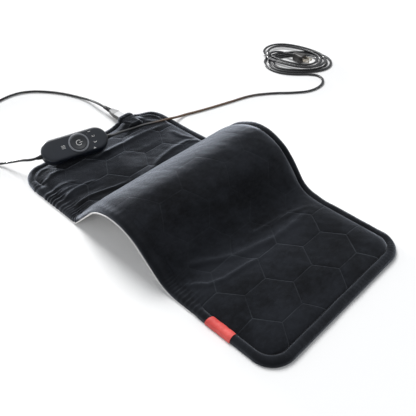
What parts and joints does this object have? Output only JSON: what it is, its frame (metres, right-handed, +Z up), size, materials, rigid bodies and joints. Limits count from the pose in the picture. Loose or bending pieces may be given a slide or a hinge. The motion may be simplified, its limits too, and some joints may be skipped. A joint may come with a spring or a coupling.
{
  "type": "heating pad with hand controller",
  "caption": "Quilted velvet heating pad draped in an arch, with a push-in pad connector, a pill-shaped hand controller with a power button, and a mains cord in a hank.",
  "frame": {"origin": "middle of the pad's plan, on the surface that the pad lies on", "axes": "+X along the pad's length, from the short edge with the controller to the short edge by the tag; +Y across the pad, towards the long edge that the mains cord crosses; +Z up"},
  "size_m": [0.8171, 0.7886, 0.0915],
  "materials": {
    "velvet_cover": "short-pile velvet, dark slate",
    "binding_cloth": "woven binding, near black",
    "backing_cloth": "plain woven backing, pale",
    "tag_cloth": "woven satin tag, coral red, bare",
    "heater_felt": "needled felt, off-white",
    "wire_insulation": "soft insulation",
    "thermostat_metal": "plated can",
    "socket_plastic": "moulded, fine texture",
    "contact_brass": "plain turned",
    "connector_cap": "moulded, satin light grey",
    "connector_base": "moulded, satin dark grey",
    "cord_sheath": "smooth, satin black",
    "case_plastic": "moulded, fine texture, charcoal",
    "button_plastic": "satin, charcoal",
    "ring_plastic": "polished rim",
    "light_plastic": "clear white",
    "screw_steel": "plain",
    "board_laminate": "lacquered green",
    "part_black": "moulded",
    "plunger_plastic": "satin white",
    "capacitor_film": "dipped, amber",
    "fuse_glass": "clear tube",
    "plug_plastic": "moulded, brown black",
    "blade_brass": "plain stamped"
  },
  "bodies": {
    "pad": {"cover_back": "backing_cloth", "heater_felt_lower": "heater_felt", "heating_wire": "wire_insulation", "heater_felt_upper": "heater_felt", "cover_top": "velvet_cover", "edge_binding": "binding_cloth", "side_tag": "tag_cloth", "thermostat_1": "thermostat_metal", "thermostat_2": "thermostat_metal", "socket_pocket": "velvet_cover", "socket_housing": "socket_plastic", "socket_pin_1": "contact_brass", "socket_pin_2": "contact_brass", "upper_shell": "case_plastic", "lower_shell": "case_plastic", "case_screw_1": "screw_steel", "case_screw_2": "screw_steel", "circuit_board": "board_laminate", "switch_body": "part_black", "button_ring": "ring_plastic", "light_guide": "light_plastic", "lamp_1": "light_plastic", "lamp_2": "light_plastic", "lamp_3": "light_plastic", "lamp_4": "light_plastic", "triac": "part_black", "film_capacitor": "capacitor_film", "fuse": "fuse_glass", "cord_grommet": "cord_sheath", "lead_grommet": "cord_sheath", "pad_lead": "cord_sheath", "cord_hank": "cord_sheath", "power_cord": "cord_sheath", "plug_relief": "cord_sheath", "plug_body": "plug_plastic", "plug_blade_1": "blade_brass", "plug_blade_2": "blade_brass"},
    "button": {"power_button": "button_plastic", "switch_plunger": "plunger_plastic"},
    "connector": {"connector_upper": "connector_cap", "connector_lower": "connector_base", "contact_sleeve_1": "contact_brass", "contact_sleeve_2": "contact_brass", "connector_relief": "cord_sheath"}
  },
  "joints": [
    {"name": "button_press", "type": "slide", "parent": "pad", "child": "button", "axis": [-0.5094, 0.1461, -0.848], "range_m": [0, 0.0012], "stiffness_N_per_m": 900},
    {"name": "connector_pull", "type": "slide", "parent": "pad", "child": "connector", "axis": [-1, 0, 0], "range_m": [0, 0.018], "deforming": ["pad_lead"]}
  ]
}
